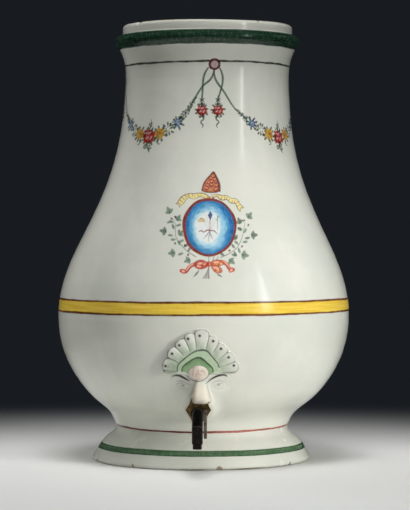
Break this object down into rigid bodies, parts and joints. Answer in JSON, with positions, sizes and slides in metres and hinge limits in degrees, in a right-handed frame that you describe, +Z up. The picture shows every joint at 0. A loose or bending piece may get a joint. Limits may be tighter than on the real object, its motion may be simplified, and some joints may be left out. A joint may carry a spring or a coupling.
{
  "type": "clay water pot with tap",
  "caption": "Pear-shaped glazed earthenware water pot on a spreading foot, with a relief mask that holds a metal tap turned by a side lever.",
  "frame": {"origin": "centre of the foot's ring, on the surface that the pot stands on, under the pot's axis", "axes": "+Z up along the pot's axis, -Y towards the mask and the tap, +X to the right of someone who faces the tap"},
  "size_m": [0.3102, 0.3489, 0.46],
  "materials": {
    "pot_glaze": "glossy tin glaze, milk white, painted",
    "foot_glaze": "glossy tin glaze, milk white, worn at the edge",
    "mask_glaze": "glossy tin glaze, milk white, painted",
    "leather": "old dark leather",
    "brass": "dull old brass",
    "dark_bronze": "blackened bronze",
    "plug_bronze": "dark worn bronze",
    "lever_iron": "rubbed grey iron",
    "pin_iron": "black iron"
  },
  "bodies": {
    "fountain": {"pot_base": "pot_glaze", "pot_bowl": "pot_glaze", "pot_shoulder": "pot_glaze", "pot_neck": "pot_glaze", "pot_collar": "pot_glaze", "foot": "foot_glaze", "mask": "mask_glaze", "front_gasket": "leather", "lock_nut": "brass", "tail_pipe": "brass", "inner_gasket": "leather", "back_nut": "brass", "tap_body": "dark_bronze", "spout_knee": "dark_bronze", "spout_tube": "dark_bronze"},
    "key": {"tap_plug": "plug_bronze", "plug_washer": "plug_bronze", "plug_screw": "plug_bronze", "lever": "lever_iron", "lever_pin": "pin_iron"}
  },
  "joints": [
    {"name": "tap_turn", "type": "hinge", "parent": "fountain", "child": "key", "pos_m": [0, -0.16814, 0.0628], "axis": [-1, 0, 0], "range_deg": [0, 90]}
  ]
}
